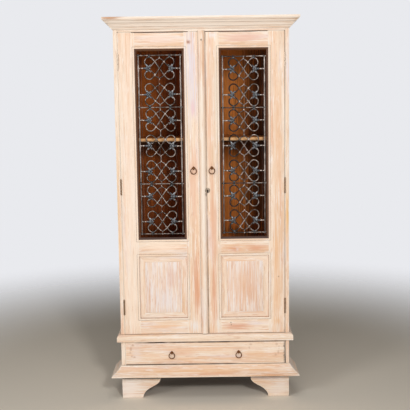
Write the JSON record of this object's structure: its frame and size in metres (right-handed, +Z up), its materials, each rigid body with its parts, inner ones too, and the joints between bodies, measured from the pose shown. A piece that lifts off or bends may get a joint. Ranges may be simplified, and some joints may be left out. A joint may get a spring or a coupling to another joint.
{
  "type": "corner cabinet",
  "caption": "Tall limed-wood corner cabinet with iron-grilled double doors over raised panels, a ring-pull drawer, moulded cornice, waist and plinth, and bracket feet.",
  "frame": {"origin": "on the floor, under the middle of the whole box", "axes": "+X to the right seen from the front, +Y to the back corner, +Z up; the doors face -Y"},
  "size_m": [0.97, 0.64, 1.95],
  "materials": {
    "limed_wood": "limed and whitewashed, rubbed back",
    "stained_pine": "warm brown stain",
    "pale_pine": "bare planed pine",
    "wrought_iron": "waxed forged iron",
    "aged_bronze": "dark aged bronze",
    "lock_steel": "worn dull steel"
  },
  "bodies": {
    "carcass": {"left_side_panels": "limed_wood", "right_side_panels": "limed_wood", "left_back_boards": "stained_pine", "right_back_boards": "stained_pine", "rear_post": "stained_pine", "left_case_stiles": "limed_wood", "right_case_stiles": "limed_wood", "frieze_rail": "limed_wood", "top_board": "limed_wood", "waist_board": "limed_wood", "base_rail": "limed_wood", "base_board": "pale_pine", "plinth_front_moulding": "limed_wood", "plinth_returns": "limed_wood", "cornice_front_moulding": "limed_wood", "cornice_returns": "limed_wood", "left_foot_brackets": "limed_wood", "right_foot_brackets": "limed_wood", "upper_shelf": "pale_pine", "lower_shelf": "pale_pine", "shelf_cleats": "pale_pine", "drawer_guides": "pale_pine", "hinge_case_leaves": "aged_bronze", "hinge_pins": "aged_bronze", "hinge_case_screws": "lock_steel"},
    "left_door": {"left_door_hinge_stile": "limed_wood", "left_door_meeting_stile": "limed_wood", "left_door_rails": "limed_wood", "left_door_panel": "limed_wood", "left_door_grille_bars": "wrought_iron", "left_door_grille_scrolls": "wrought_iron", "left_door_hinge_leaves": "aged_bronze", "left_door_hinge_screws": "lock_steel", "left_door_pull_stud": "aged_bronze", "left_door_bolt_plate": "lock_steel", "lock_keeper": "lock_steel"},
    "right_door": {"right_door_hinge_stile": "limed_wood", "right_door_meeting_stile": "limed_wood", "right_door_rails": "limed_wood", "right_door_panel": "limed_wood", "right_door_grille_bars": "wrought_iron", "right_door_grille_scrolls": "wrought_iron", "right_door_hinge_leaves": "aged_bronze", "right_door_hinge_screws": "lock_steel", "right_door_pull_stud": "aged_bronze", "astragal": "limed_wood", "keyhole_escutcheon": "lock_steel", "lock_case": "lock_steel"},
    "drawer": {"drawer_front": "limed_wood", "drawer_sides": "pale_pine", "drawer_back": "pale_pine", "drawer_bottom": "pale_pine", "drawer_pull_studs": "aged_bronze"},
    "left_door_ring": {"left_door_pull_ring": "aged_bronze"},
    "right_door_ring": {"right_door_pull_ring": "aged_bronze"},
    "left_drawer_ring": {"left_drawer_pull_ring": "aged_bronze"},
    "right_drawer_ring": {"right_drawer_pull_ring": "aged_bronze"},
    "lock_bolt": {"lock_bolt": "lock_steel"},
    "left_door_bolt": {"left_door_bolt_rod": "lock_steel"}
  },
  "joints": [
    {"name": "left_door_hinge", "type": "hinge", "parent": "carcass", "child": "left_door", "pos_m": [-0.415, -0.274, 0], "axis": [0, 0, -1], "range_deg": [0, 140]},
    {"name": "right_door_hinge", "type": "hinge", "parent": "carcass", "child": "right_door", "pos_m": [0.415, -0.274, 0], "axis": [0, 0, 1], "range_deg": [0, 140]},
    {"name": "drawer_slide", "type": "slide", "parent": "carcass", "child": "drawer", "axis": [0, -1, 0], "range_m": [0, 0.3]},
    {"name": "left_door_ring_swing", "type": "hinge", "parent": "left_door", "child": "left_door_ring", "pos_m": [-0.046, -0.2795, 1.203], "axis": [-1, 0, 0], "range_deg": [-8, 120]},
    {"name": "right_door_ring_swing", "type": "hinge", "parent": "right_door", "child": "right_door_ring", "pos_m": [0.046, -0.2795, 1.203], "axis": [-1, 0, 0], "range_deg": [-8, 120]},
    {"name": "left_drawer_ring_swing", "type": "hinge", "parent": "drawer", "child": "left_drawer_ring", "pos_m": [-0.174, -0.2795, 0.2425], "axis": [-1, 0, 0], "range_deg": [-8, 120]},
    {"name": "right_drawer_ring_swing", "type": "hinge", "parent": "drawer", "child": "right_drawer_ring", "pos_m": [0.174, -0.2795, 0.2425], "axis": [-1, 0, 0], "range_deg": [-8, 120]},
    {"name": "lock_bolt_throw", "type": "slide", "parent": "right_door", "child": "lock_bolt", "axis": [-1, 0, 0], "range_m": [0, 0.01]},
    {"name": "left_door_bolt_drop", "type": "slide", "parent": "left_door", "child": "left_door_bolt", "axis": [0, 0, -1], "range_m": [0, 0.014]}
  ]
}
